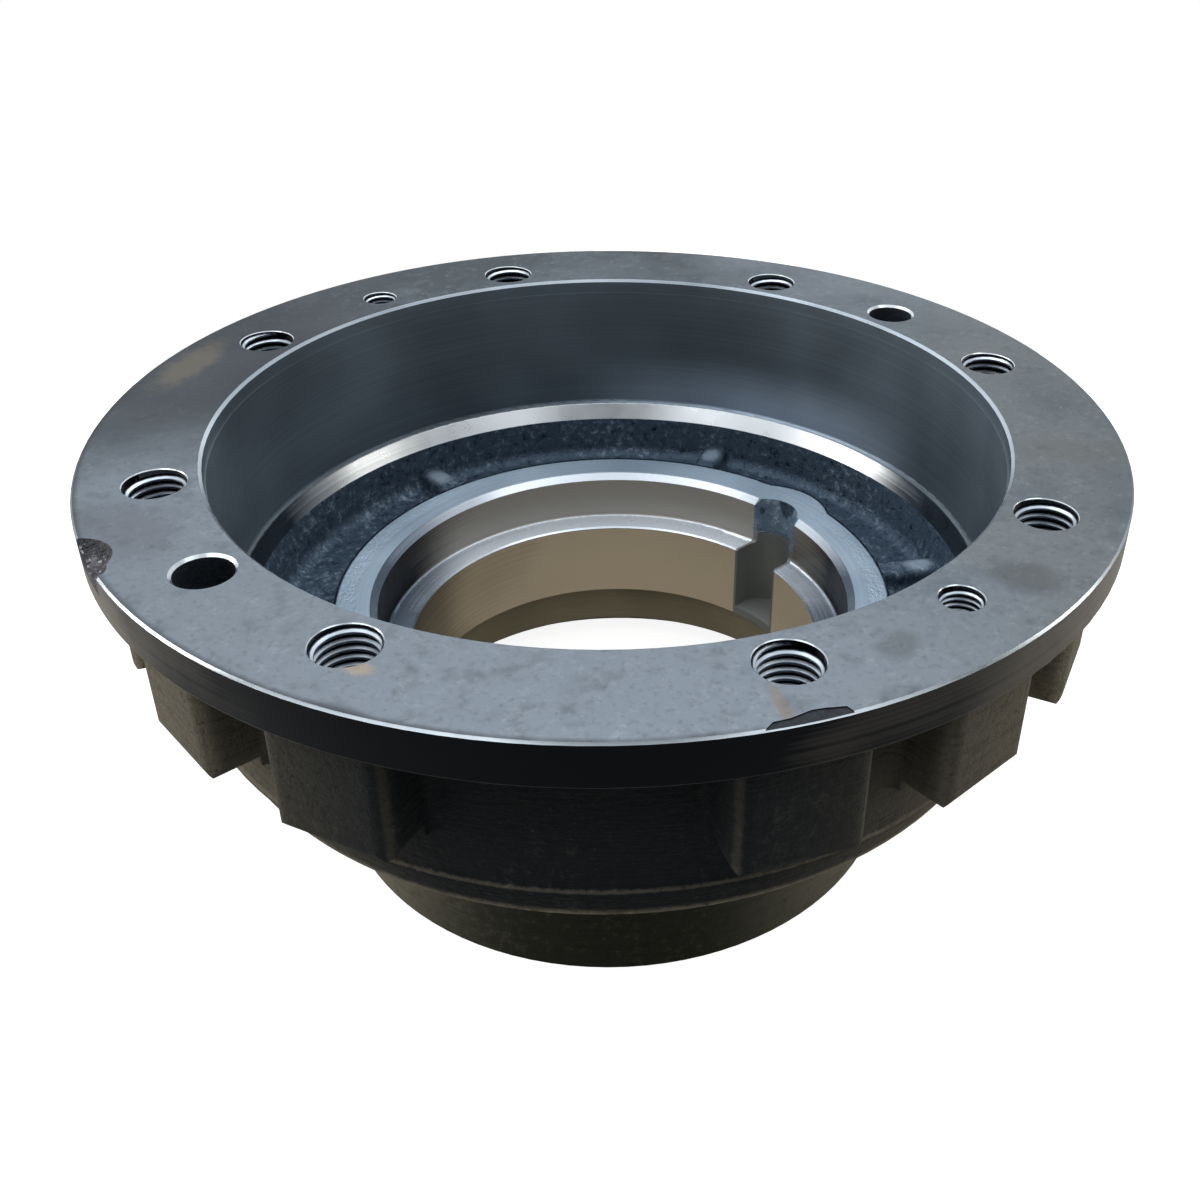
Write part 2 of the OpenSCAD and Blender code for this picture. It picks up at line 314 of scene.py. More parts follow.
class Place:
    """Where a point is, in millimetres, and the noises that finishes share, each made at its first use."""

    def __init__(self, graph: Graph, hole_circle: float = 0.0, sector: float = 360.0) -> None:
        """Makes the position.

        Args:
            graph: the material's graph.
            hole_circle: radius of the circle of holes.
            sector: angle between neighbouring holes, in degrees.
        """
        self.graph = graph
        self.hole_circle = hole_circle
        self.step = math.radians(sector)
        self.directions: dict[float, Field] = {}
        coords = graph.node("ShaderNodeTexCoord").outputs["Object"]
        self.point = graph.node("ShaderNodeVectorMath", {"operation": "SCALE"},
                                {0: coords, "Scale": 1 / MM}).outputs[0]
        split = graph.node("ShaderNodeSeparateXYZ", {}, {0: self.point}).outputs
        self.x, self.y, self.z = (Field(graph, socket) for socket in split)

    @cached_property
    def r(self) -> Field:
        """Distance from the axis."""
        return (self.x * self.x + self.y * self.y) ** 0.5

    @cached_property
    def turn(self) -> Field:
        """Direction round the axis, in radians."""
        return self.graph.math("ARCTAN2", self.y, self.x)

    @cached_property
    def hole_direction(self) -> tuple[Field, Field]:
        """Cosine and sine of the nearest hole's direction."""
        nearest = self.graph.math("ROUND", self.turn / self.step) * self.step
        return self.graph.math("COSINE", nearest), self.graph.math("SINE", nearest)

    @cached_property
    def out(self) -> Field:
        """Distance from the axis, measured along the nearest hole's direction."""
        cosine, sine = self.hole_direction
        return self.x * cosine + self.y * sine

    @cached_property
    def side(self) -> Field:
        """Distance sideways from the nearest hole's direction."""
        cosine, sine = self.hole_direction
        return abs(self.y * cosine - self.x * sine)

    @cached_property
    def hole_r(self) -> Field:
        """Distance from the nearest hole's axis."""
        from_hole = self.out - self.hole_circle
        return (from_hole * from_hole + self.side * self.side) ** 0.5

    @cached_property
    def up(self) -> Field:
        """How far the surface faces up: 1 when level, 0 when upright, -1 underneath."""
        normal = self.graph.node("ShaderNodeNewGeometry").outputs["True Normal"]
        return Field(self.graph, self.graph.node("ShaderNodeSeparateXYZ", {}, {0: normal}).outputs[2])

    @cached_property
    def level(self) -> Field:
        """1 on level surfaces that face up."""
        return self.up.above(0.85, soft=0.05)

    @cached_property
    def sloped(self) -> Field:
        """1 on chamfers that face up."""
        return self.up.within(0.3, 0.93, soft=0.04)

    @cached_property
    def steep(self) -> Field:
        """1 on upright surfaces and on those that face down."""
        return self.up.below(0.4, soft=0.1)

    @cached_property
    def cloud(self) -> Field:
        """Broad clouds."""
        return self.graph.noise(self.point, Grain(42.0))

    @cached_property
    def mottle(self) -> Field:
        """Blotches of a fingertip's size."""
        return self.graph.noise(self.point, Grain(9.0, 2.0, 0.62))

    @cached_property
    def speck(self) -> Field:
        """Fine specks."""
        return self.graph.noise(self.point, Grain(1.7, 1.0, 0.6))

    @cached_property
    def sand(self) -> Field:
        """The grain of moulding sand."""
        return self.graph.noise(self.point, Grain(3.2, 3.0, 0.8))

    @cached_property
    def bumps(self) -> Field:
        """Sand grain as a height, about -1 to 1."""
        return self.sand.centred() * 3.0

    @cached_property
    def ragged(self) -> Field:
        """What makes an edge ragged, about -1 to 1."""
        return self.mottle.centred() * 2.0 + self.speck.centred()

    @cached_property
    def drift(self) -> Field:
        """Slow drift of tone with fine turning lines round the axis, about 0 to 1."""
        around = self.graph.node("ShaderNodeCombineXYZ", {},
                                 {0: self.r, 1: self.z, 2: self.toward(40.0) * 0.8})
        lines = self.graph.noise(around.outputs[0], Grain(0.9, 2.0, 0.6))
        return self.cloud.centred() * 1.3 + lines.centred() * 0.5 + 0.5

    @cached_property
    def layer(self) -> Field:
        """Flat marks, long round the part and short in height."""
        flat = self.graph.node("ShaderNodeVectorMath", {"operation": "MULTIPLY"},
                               {0: self.point, 1: (0.09, 0.09, 0.75)})
        return self.graph.noise(flat.outputs[0], Grain(1.0, 1.0, 0.6))

    def toward(self, degrees: float) -> Field:
        """1 in one direction round the axis, -1 opposite.

        Args:
            degrees: the direction.

        Returns:
            The cosine of the angle between them.
        """
        if degrees not in self.directions:
            self.directions[degrees] = self.graph.math("COSINE", self.turn - math.radians(degrees))
        return self.directions[degrees]


@dataclass(frozen=True)
class Side:
    """A patch on one side of the axis: its direction in degrees, the cosine where it starts, its strength."""

    direction: float
    start: float
    strength: float = 1.0

    def mask(self, place: Place) -> Field:
        """Where the patch is."""
        return place.toward(self.direction).rising(self.start, 1.0) * self.strength


@dataclass(frozen=True)
class Stain:
    """One soft blot on the bolting face, in millimetres and degrees."""

    x: float
    y: float
    along: float
    across: float
    turn: float
    colour: Rgb
    strength: float
    ragged: float = 0.4

    def mask(self, place: Place) -> Field:
        """Where the blot is.

        Args:
            place: the fields of the hub.

        Returns:
            Its mask: an ellipse seen from above, through the whole height.
        """
        local = place.graph.node("ShaderNodeMapping", {"vector_type": "TEXTURE"}, {
            "Vector": place.point, "Location": (self.x, self.y, 0.0),
            "Rotation": (0.0, 0.0, math.radians(self.turn)), "Scale": (self.along, self.across, 1.0e5)})
        far = place.graph.node("ShaderNodeVectorMath", {"operation": "LENGTH"}, {0: local.outputs[0]})
        distance = Field(place.graph, far.outputs["Value"])
        return (distance + place.ragged * self.ragged).rising(1.3, 0.45) * self.strength


@dataclass(frozen=True)
class GroundFace:
    """The ground bolting face: mottled blue-grey steel with cloudy stains, and painted light: lighter and
    cooler toward one side and in two patches, warmer toward another, with a painted shade patch.
    """

    lit_cool: Rgb = shade(109, 117, 125)
    warm_lit: Rgb = shade(101, 106, 107)
    # The face's tone on the side left in painted shade.
    dim: Rgb = shade(59, 68, 75)
    dark: Rgb = shade(58, 62, 66)
    pale: Rgb = shade(150, 158, 164)
    shadow: Rgb = shade(40, 45, 50)
    worn: Rgb = shade(46, 44, 46)
    rough: float = 0.36
    metal: float = 0.82
    # Directions in degrees of the painted light: the lighter, cooler side and the warmer side.
    lit_cool_side: float = -125.0
    warm_lit_side: float = -48.0
    worn_side: float = 175.0
    worn_r: float = 158.4
    # Painted lit patches, and a painted shade patch in the shadow colour.
    lit_patches: tuple[Side, ...] = (Side(15.0, 0.83, 0.5), Side(-172.0, 0.7, 0.35))
    shade_patch: Side = Side(122.0, 0.82, 0.75)
    stains: tuple[Stain, ...] = (
        Stain(-129.6, -62.5, 4.4, 2.8, -64.0, shade(158, 138, 108), 0.5),
        Stain(-82.4, 124.6, 22.0, 7.0, 34.0, shade(124, 112, 90), 0.35),
        Stain(20.4, -142.4, 11.0, 8.0, -70.0, shade(58, 60, 58), 0.45),
        Stain(-27.9, -140.2, 7.0, 5.0, 20.0, shade(66, 68, 66), 0.4),
        Stain(-141.2, -73.0, 8.0, 2.2, -62.0, shade(60, 66, 72), 0.5),
        Stain(-66.0, -137.5, 9.0, 2.0, 62.0, shade(118, 100, 76), 0.45),
        Stain(-144.0, 32.0, 18.0, 12.0, 95.0, shade(78, 76, 84), 0.35),
        Stain(92.0, -110.0, 20.0, 9.0, -45.0, shade(88, 82, 74), 0.3),
    )

    def look(self, place: Place) -> Look:
        """The face's look.

        Args:
            place: the fields of the hub.

        Returns:
            The look.
        """
        graph = place.graph
        # Painted light: lighter and cooler toward one side of the axis and in the lit patches.
        lit_cool = place.toward(self.lit_cool_side) * 0.5 + 0.5
        for patch in self.lit_patches:
            lit_cool = lit_cool + patch.mask(place)
        lit_cool = (lit_cool + place.cloud.centred() * 1.6 + place.mottle.centred() * 1.1).clipped()
        # Painted light: a warmer cast toward one side.
        warm_lit = (place.toward(self.warm_lit_side) + place.cloud.centred()).rising(0.55, 1.1)
        tones = [
            (self.lit_cool, lit_cool),
            (self.warm_lit, warm_lit * 0.8),
            (self.dark, place.mottle.rising(0.52, 0.78) * 0.35),
            (self.pale, place.sand.rising(0.5, 0.2) * 0.3),
            (self.dark, place.speck.rising(0.5, 0.85) * 0.3),
            # Painted shade patch.
            (self.shadow, self.shade_patch.mask(place)),
        ]
        tones += [(stain.colour, stain.mask(place)) for stain in self.stains]
        worn = (place.mottle * 0.7 + place.toward(self.worn_side) * 0.6).above(0.6, soft=0.2)
        tones.append((self.worn, place.r.above(self.worn_r, soft=1.0) * worn * 0.6))
        colour = self.dim
        for tone, share in tones:
            colour = graph.mix(colour, tone, share)
        return Look(colour, self.rough + place.mottle * 0.22, self.metal)


@dataclass(frozen=True)
class TurnedMetal:
    """A turned surface: two tones that drift, and change with the direction round the axis.

    The light tone lies toward the direction in degrees, by as much as the sweep says, or on both sides of the
    axis: a painted highlight there and painted shade away from it, while the drift is the metal's own tone.
    A lower bias gives the darker tone more room.
    """

    light: Rgb
    dark_and_shaded: Rgb
    rough: float = 0.34
    metal: float = 0.9
    lit_sweep: float = 0.5
    direction: float = 50.0
    bias: float = 0.0
    both_sides: bool = False

    def look(self, place: Place) -> Look:
        """The turned surface's look.

        Args:
            place: the fields of the hub.

        Returns:
            The look.
        """
        # Painted light and shade: the light tone toward this direction round the axis.
        toward = place.toward(self.direction)
        if self.both_sides:
            toward = abs(toward)
        share = (toward * self.lit_sweep + (place.drift + self.bias)).clipped()
        colour = place.graph.mix(self.dark_and_shaded, self.light, share)
        return Look(colour, self.rough + place.mottle.centred() * 0.2, self.metal)


@dataclass(frozen=True)
class CastSkin:
    """A rough surface: dark and sandy, with dust and painted highlights on what stands out, pitted, with
    layered marks and painted glints.

    The side colour, where there is one, is painted light: it shows on both sides of the axis along the side
    direction.
    """

    base: Rgb
    dust_and_glint: Rgb
    pit: Rgb
    dust_and_glint_share: float = 0.4
    pitted: float = 1.0
    layers: float = 0.0
    glint: float = 0.0
    rough: float = 0.72
    metal: float = 0.0
    spark: Rgb = shade(235, 236, 240)
    side: Rgb | None = None
    lit_sides_direction: float = 137.0

    def look(self, place: Place) -> Look:
        """The rough surface's look.

        Args:
            place: the fields of the hub.

        Returns:
            The look.
        """
        graph = place.graph
        colour = self.base
        # Painted light on both lit sides.
        if self.side:
            colour = graph.mix(colour, self.side, abs(place.toward(self.lit_sides_direction)).rising(0.25, 1.0))
        # Dust and painted highlights on the raised grains.
        sandy = (place.bumps + place.cloud.centred()).rising(0.0, 0.8)
        colour = graph.mix(colour, self.dust_and_glint, sandy * self.dust_and_glint_share)
        colour = graph.mix(colour, self.pit, place.bumps.rising(-0.12, -0.7) * self.pitted)
        if self.layers:
            colour = graph.mix(colour, self.pit, place.layer.rising(0.5, 0.3) * self.layers)
        # Painted glints.
        if self.glint:
            colour = graph.mix(colour, self.spark, place.speck.rising(0.66, 0.74) * self.glint)
        return Look(colour, self.rough + place.speck.centred() * 0.2, self.metal)


Finish = GroundFace | TurnedMetal | CastSkin


class Zone(enum.Enum):
    """The hub's surfaces that differ in finish, in the order in which they are laid over each other."""

    SKIN = "cast skin"
    NECK = "neck"
    # Painted highlights along the edges of the pads and the drum.
    LIT_EDGE = "rubbed edges of the pads and the drum"
    TROUGH = "cast trough"
    # Painted highlight on the outer ends of the ribs.
    RIB_GLINT = "outer end of a rib"
    CUP = "cup wall"
    # Painted light on the lower cup wall toward the back.
    LIT_CUP_FOOT = "foot of the cup wall"
    CONE = "cone band"
    BOSS_TOP = "boss top"
    SEAT = "upper bearing seat"
    LEDGE = "seat ledge"
    LAND = "land"
    SLOT = "slot side"
    LOWER_SEAT = "lower bearing seat"
    POCKET = "slot pocket"
    RIM_SIDE = "rim side"
    FACE = "bolting face"
    MOUTH = "cup mouth"
    LOW_SPOT = "low spot"
    RIM_CHAMFER = "rim chamfer"
    HOLE = "hole wall"
    HOLE_CHAMFER = "hole mouth"
    CHIP = "broken rim edge"


Masks = dict[Zone, Field]

FINISHES: dict[Zone, Finish] = {
    # Very dark in front as painted shade, tan on both sides as painted light.
    Zone.SKIN: CastSkin(shade(17, 23, 27), shade(72, 71, 66), shade(10, 13, 14), dust_and_glint_share=0.38, pitted=0.45,
                        layers=0.25, side=shade(108, 101, 85)),
    # Painted light on both sides in the side colour.
    Zone.NECK: CastSkin(shade(42, 44, 34), shade(100, 96, 80), shade(22, 22, 17), pitted=0.4, layers=0.2,
                        side=shade(120, 116, 102)),
    # Painted highlights along the edges of the pads, the drum's foot and the parting ridge.
    Zone.LIT_EDGE: CastSkin(shade(140, 132, 114), shade(196, 186, 166), shade(60, 58, 50), dust_and_glint_share=0.6),
    # Its pale raised grains are dust and painted highlights.
    Zone.TROUGH: CastSkin(shade(64, 80, 96), shade(164, 180, 196), shade(14, 20, 28), dust_and_glint_share=0.5,
                          rough=0.4, metal=0.3),
    # Painted highlight on the outer ends of the ribs.
    Zone.RIB_GLINT: TurnedMetal(shade(206, 220, 236), shade(150, 168, 186), metal=0.4, lit_sweep=0.15,
                              direction=30.0),
    Zone.CUP: TurnedMetal(shade(112, 124, 134), shade(66, 75, 83), rough=0.42, metal=0.5, lit_sweep=0.15,
                          direction=60.0),
    # Painted light on the lower cup wall toward the back.
    Zone.LIT_CUP_FOOT: TurnedMetal(shade(172, 188, 206), shade(110, 122, 134), rough=0.4, metal=0.5, lit_sweep=0.4,
                               direction=0.0),
    # Painted highlight toward the back of the band, painted shade at its sides.
    Zone.CONE: TurnedMetal(shade(240, 246, 250), shade(64, 73, 84), rough=0.3, metal=0.95, lit_sweep=2.5,
                           bias=-1.3),
    Zone.BOSS_TOP: TurnedMetal(shade(170, 188, 203), shade(118, 134, 149), rough=0.46, metal=0.4, lit_sweep=0.1,
                               direction=150.0),
    # Painted highlight toward the back of the seat, painted shade at its sides.
    Zone.SEAT: TurnedMetal(shade(168, 163, 154), shade(26, 28, 31), rough=0.42, metal=0.3, lit_sweep=2.5,
                           bias=-1.35),
    # Painted highlight toward the back of the ledge and its chamfer.
    Zone.LEDGE: TurnedMetal(shade(232, 240, 250), shade(104, 116, 130), rough=0.26, metal=0.55, lit_sweep=1.5,
                            direction=45.0, bias=-0.7),
    # Painted light toward one side of the land, painted shade opposite.
    Zone.LAND: TurnedMetal(shade(212, 194, 165), shade(98, 91, 75), rough=0.36, metal=0.4, lit_sweep=1.0,
                           direction=10.0),
    Zone.SLOT: TurnedMetal(shade(136, 138, 134), shade(98, 100, 98), rough=0.45, metal=0.3, lit_sweep=0.2,
                           direction=40.0),
    Zone.LOWER_SEAT: TurnedMetal(shade(170, 160, 132), shade(124, 117, 93), rough=0.45, metal=0.3, lit_sweep=0.1,
                                 direction=40.0),
    Zone.POCKET: CastSkin(shade(104, 124, 142), shade(196, 208, 220), shade(28, 36, 44), dust_and_glint_share=0.7,
                          rough=0.45, metal=0.2),
    # Painted shade at the front of the rim's side, painted light on both flanks.
    Zone.RIM_SIDE: TurnedMetal(shade(120, 113, 104), shade(8, 14, 20), rough=0.38, metal=0.7, lit_sweep=1.5,
                               direction=137.0, bias=-1.2, both_sides=True),
    Zone.FACE: GroundFace(),
    # Painted highlight, brightest toward the front.
    Zone.MOUTH: TurnedMetal(shade(222, 232, 240), shade(140, 150, 160), rough=0.28, metal=1.0, lit_sweep=0.3,
                            direction=-130.0),
    Zone.LOW_SPOT: CastSkin(shade(28, 33, 38), shade(52, 60, 66), shade(18, 22, 27), dust_and_glint_share=0.5, rough=0.5,
                            metal=0.3),
    # Painted highlight, brightest toward the front.
    Zone.RIM_CHAMFER: TurnedMetal(shade(166, 174, 180), shade(124, 134, 142), rough=0.25, metal=1.0,
                                  lit_sweep=0.3, direction=-130.0),
    # Painted reflections and painted shade inside the holes.
    Zone.HOLE: TurnedMetal(shade(120, 132, 144), shade(16, 19, 22), rough=0.35, metal=0.8, lit_sweep=0.15,
                           bias=-0.1),
    # Painted highlight on the mouths, brightest toward the back.
    Zone.HOLE_CHAMFER: TurnedMetal(shade(240, 246, 250), shade(190, 198, 204), rough=0.25, metal=1.0),
    Zone.CHIP: CastSkin(shade(48, 49, 54), shade(112, 110, 116), shade(18, 18, 22), dust_and_glint_share=0.9, glint=0.35,
                        rough=0.5, metal=0.3),
}


@dataclass
class HubCasting:
    """The one-piece casting: where each finish lies, in millimetres in the hub's frame."""

    node: str = "wheel_hub"
    height: float = mount("bolting_face")["pos_m"][2] / MM
    hole_circle: float = mount("wheel_holes")["dims"]["pcd_mm"] / 2
    hole_r: float = mount("wheel_holes")["dims"]["hole_r_mm"]
    cup_r: float = mount("cup")["dims"]["r_mm"]
    seat_r: float = mount("upper_bearing_seat")["dims"]["r_mm"]
    rim_r: float = CAD_BOX[1][0] / MM
    rim_under: float = 129.1
    rim_chamfer: float = 0.6
    low_spot: float = 0.3
    sector: float = 22.5
    hole_depth: float = 45.0
    hole_chamfer: float = 1.2
    cup_lead: float = 1.2
    cup_floor: float = 89.4
    cone_end: float = 83.9
    cone_r: float = 119.4
    boss_top: float = 78.5
    boss_r: float = 86.0
    seat_floor: float = 60.3
    land_r: float = 70.5
    lower_shoulder: float = 30.4
    slot_start: float = 67.0
    slot_half: float = 10.3
    pocket_start: float = 74.0
    pocket_floor: float = 65.0
    rib_turn: float = 28.7
    rib_step: float = 60.0
    rib_end_r: float = 110.0
    pad_half: float = 18.5
    pad_face: float = 153.0
    pad_foot: float = 89.8
    pad_rounding: float = 3.0
    drum_r: float = 137.0
    drum_foot: float = 57.5
    foot_r: float = 127.0
    parting: float = 74.2
    neck_bore: float = 93.5
    chip_x: float = -157.0
    chip_y: float = 26.5
    chip_across: float = 6.5
    chip_along: float = 10.5
    chip_depth: float = 6.5
    cast_relief: float = 0.2
    layer_relief: float = 0.35
    chip_relief: float = 0.8
    machined_relief: float = 0.004
    specular: float = 0.2
    # Where the painted light on the cup's foot lies round the axis.
    cup_foot_light_side: Side = Side(20.0, 0.78)
    finishes: dict[Zone, Finish] = field(default_factory=lambda: dict(FINISHES))

    def inside(self, place: Place) -> Field:
        """Everything within the cup's mouth."""
        return place.r.below(self.cup_r + self.cup_lead, soft=0.3)

    def outside_masks(self, place: Place) -> Masks:
        """The neck and the painted highlights along the edges.

        Args:
            place: the fields of the hub.

        Returns:
            The masks.
        """
        z, r = place.z, place.r
        wobble = place.speck.centred() * 0.8
        # Painted highlights: the upright edges and feet of the pads, the drum's foot and the parting ridge.
        upright = (place.side + wobble).near(self.pad_half - self.pad_rounding / 2, 0.8, soft=0.6) \
            * place.out.within(self.pad_face - 3.5, self.pad_face - 0.4, soft=0.8)
        foot = z.within(self.pad_foot + 0.2, self.pad_foot + 1.6, soft=0.7) \
            * place.out.above(self.pad_face - 2.65, soft=1.15) \
            * place.side.below(self.pad_half - self.pad_rounding, soft=2.0)
        drum_foot = z.within(self.drum_foot + 0.6, self.drum_foot + 4.6, soft=1.4) \
            * r.above(self.foot_r + 0.25, soft=1.25) * (place.mottle * 0.5 + 0.3)
        parting = (z + wobble).near(self.parting, 0.5, soft=0.4) * r.above(self.drum_r - 0.05, soft=0.35)
        under_rim = r.above(self.cup_r + 2.5, soft=0.5) * z.below(self.rim_under - 0.5, soft=0.5)
        return {
            Zone.NECK: z.below(self.drum_foot - 3.0, soft=2.0) * r.above(self.neck_bore, soft=0.5),
            Zone.LIT_EDGE: ((upright | foot) * 0.13 | drum_foot | parting * 0.3) * under_rim,
        }

    def cup_masks(self, place: Place) -> Masks:
        """The cup wall, the cone band and the trough.

        Args:
            place: the fields of the hub.

        Returns:
            The masks.
        """
        z, r, inside = place.z, place.r, self.inside(place)
        wall = inside * r.above(self.cup_r - 1.35, soft=0.35) * z.above(self.cup_floor + 0.15, soft=0.25)
        frayed_r = r + place.mottle.centred() * 0.3
        return {
            Zone.TROUGH: inside * z.within(self.pocket_floor - 1.0, self.cup_floor, soft=0.3),
            # Painted highlight on the rib ends.
            Zone.RIB_GLINT: self.rib_end_glints(place) * 0.6,
            Zone.CUP: wall,
            # Painted light: lighter toward the cup's floor and toward one side.
            Zone.LIT_CUP_FOOT: wall * z.below(self.cup_floor + 14.0, soft=12.0) * self.cup_foot_light_side.mask(place),
            Zone.CONE: inside * z.within(self.cone_end, self.cup_floor + 0.1, soft=0.12)
            * frayed_r.above(self.cone_r - 0.225, soft=0.125),
        }

    def boss_masks(self, place: Place) -> Masks:
        """The boss: its top, bores, ledges and slot.

        Args:
            place: the fields of the hub.

        Returns:
            The masks.
        """
        z, r, inside = place.z, place.r, self.inside(place)
        seat = inside * r.near(self.seat_r + 0.6, 1.65, soft=0.25) \
            * z.above(self.seat_floor - 0.05, soft=0.05)
        seat_chamfer = seat * z.above(self.boss_top - 2.25, soft=0.15) * (1 - place.steep)
        ledge = inside * z.near(self.seat_floor, 0.625, soft=0.125) * r.below(self.seat_r - 0.55, soft=0.35)
        slot = place.x.above(self.slot_start, soft=1.0) * r.below(self.boss_r + 0.05, soft=0.15) \
            * abs(place.y).below(self.slot_half + 0.15, soft=0.15)
        return {
            Zone.BOSS_TOP: inside * z.near(self.boss_top, 0.15, soft=0.05) * place.level,
            Zone.SEAT: seat * z.below(self.boss_top - 0.4, soft=0.1),
            Zone.LEDGE: seat_chamfer | ledge,
            Zone.LAND: r.near(self.land_r, 0.65, soft=0.25)
            * z.within(self.lower_shoulder, self.seat_floor - 0.8, soft=0.2),
            Zone.SLOT: slot * z.below(self.pocket_floor - 0.05, soft=0.25),
            Zone.LOWER_SEAT: r.below(self.neck_bore + 2.0, soft=0.5)
            * z.below(self.lower_shoulder + 0.15, soft=0.25),
            Zone.POCKET: slot * z.above(self.pocket_floor - 0.25, soft=0.95) * (1 - place.level)
            * place.x.above(self.pocket_start, soft=2.0),
        }

    def rim_masks(self, place: Place) -> Masks:
        """The rim: its side, bolting face, edges, holes and damage.

        Args:
            place: the fields of the hub.

        Returns:
            The masks.
        """
        z, r = place.z, place.r
        top = z.above(self.height - 0.45, soft=0.05) * place.level
        holed = abs(place.graph.math("SINE", place.turn * 2.0)).below(0.925, soft=0.025)
        chamfer_r, chamfer_z = self.rim_r - self.rim_chamfer, self.height - self.rim_chamfer
        return {
            Zone.RIM_SIDE: r.above(self.rim_r - 0.6, soft=0.1) * place.steep
            * z.above(self.rim_under + 0.35, soft=0.15),
            Zone.FACE: top,
            Zone.MOUTH: z.above(self.height - 1.7, soft=0.1) * r.below(self.cup_r + 1.6, soft=0.1)
            * place.sloped,
            Zone.LOW_SPOT: top * z.rising(self.height - self.low_spot / 3, self.height - self.low_spot / 2),
            Zone.RIM_CHAMFER: z.above(chamfer_z - 0.05, soft=0.05) * r.above(chamfer_r - 0.075, soft=0.075)
            * place.sloped,
            Zone.HOLE: place.hole_r.below(self.hole_r + 0.35, soft=0.15) * holed
            * z.within(self.height - self.hole_depth, self.height - 0.4, soft=0.1),
            Zone.HOLE_CHAMFER: place.hole_r.below(self.hole_r + self.hole_chamfer + 0.2, soft=0.2) * holed
            * z.above(self.height - 1.95, soft=0.05) * place.sloped,
            Zone.CHIP: self.broken(place),
        }

    def rib_end_glints(self, place: Place) -> Field:
        """Where the ribs meet the cup's foot: a painted highlight on their outer ends."""
        graph = place.graph
        first, step = math.radians(self.rib_turn), math.radians(self.rib_step)
        rib = graph.math("ROUND", (place.turn - first) / step) * step + first
        far = graph.math("COSINE", place.turn - rib) * place.r - self.rib_end_r
        side = graph.math("SINE", place.turn - rib) * place.r
        return ((far * far * 0.5 + side * side) ** 0.5 + place.ragged * 1.5).below(3.5, soft=2.0) \
            * place.z.above(self.pocket_floor + 5.5, soft=1.5)

    def broken(self, place: Place) -> Field:
        """Where the rim's edge is broken out."""
        across = (place.x - self.chip_x) / self.chip_across
        along = (place.y - self.chip_y) / self.chip_along
        return (across * across + along * along).below(1.15, soft=0.15) * place.up.below(0.99, soft=0.005) \
            * place.z.above(self.height - self.chip_depth, soft=0.5)

    def relief(self, place: Place) -> Field:
        """Fine relief in millimetres: sandy where cast, coarse where broken, nearly none where machined.

        Args:
            place: the fields of the hub.

        Returns:
            The height.
        """
        z, r = place.z, place.r
        outer = r.above(self.cup_r + 1.5, soft=0.5) * z.below(self.rim_under + 0.15, soft=0.15)
        trough = z.within(self.pocket_floor - 8.0, self.cone_end - 0.5, soft=0.5) \
            * r.above(self.boss_r + 1.0, soft=1.0)
        rough = (outer | trough) * self.cast_relief + self.broken(place) * self.chip_relief \
            + self.machined_relief
        return place.bumps * rough + place.layer.centred() * outer * self.layer_relief

    def dress(self) -> bpy.types.Material:
        """Gives the CAD node its material.

        Returns:
            The material.
        """
        material = bpy.data.materials.new("hub_iron_dressed")
        graph = Graph(material)
        place = Place(graph, self.hole_circle, self.sector)
        masks = {**self.outside_masks(place), **self.cup_masks(place), **self.boss_masks(place),
                 **self.rim_masks(place)}
        look = self.finishes[Zone.SKIN].look(place)
        for zone, mask in masks.items():
            look = look.under(graph, self.finishes[zone].look(place), mask)
        graph.surface(look, self.relief(place), self.specular)
        for slot in frame["nodes"][self.node].material_slots:
            slot.material = material
        log.info("%s dressed in %d zones", self.node, len(masks) + 1)
        return material


@dataclass(frozen=True)
class ThreadFinish:
    """A cut thread: bright flanks, a worn crest, a black root of painted shade, and painted shade on what
    faces down.
    """

    flank: Rgb = shade(196, 206, 216)
    crest: Rgb = shade(120, 130, 142)
    root: Rgb = shade(14, 15, 18)
    rough: float = 0.26
    underside_shade: float = 0.75
    relief: float = 0.02

    def material(self, name: str, major: float, minor: float) -> bpy.types.Material:
        """The thread's material.

        Args:
            name: the material's name.
            major, minor: radii of the thread's root and crest in millimetres.

        Returns:
            The material.
        """
        made = bpy.data.materials.new(name)
        graph = Graph(made)
        place = Place(graph)
        depth = (place.r - minor) / (major - minor)
        colour = graph.mix(self.crest, self.flank, depth.within(0.12, 0.62, soft=0.08))
        # Painted shade: black into the root.
        colour = graph.mix(colour, self.root, (depth + place.speck.centred() * 0.3).rising(0.5, 0.82))
        # Painted shade on the flanks that face down.
        colour = graph.mix(colour, self.root, place.up.rising(0.1, -0.3) * self.underside_shade)
        graph.surface(Look(colour, self.rough + place.speck * 0.16, 1.0), place.speck.centred() * self.relief)
        return made


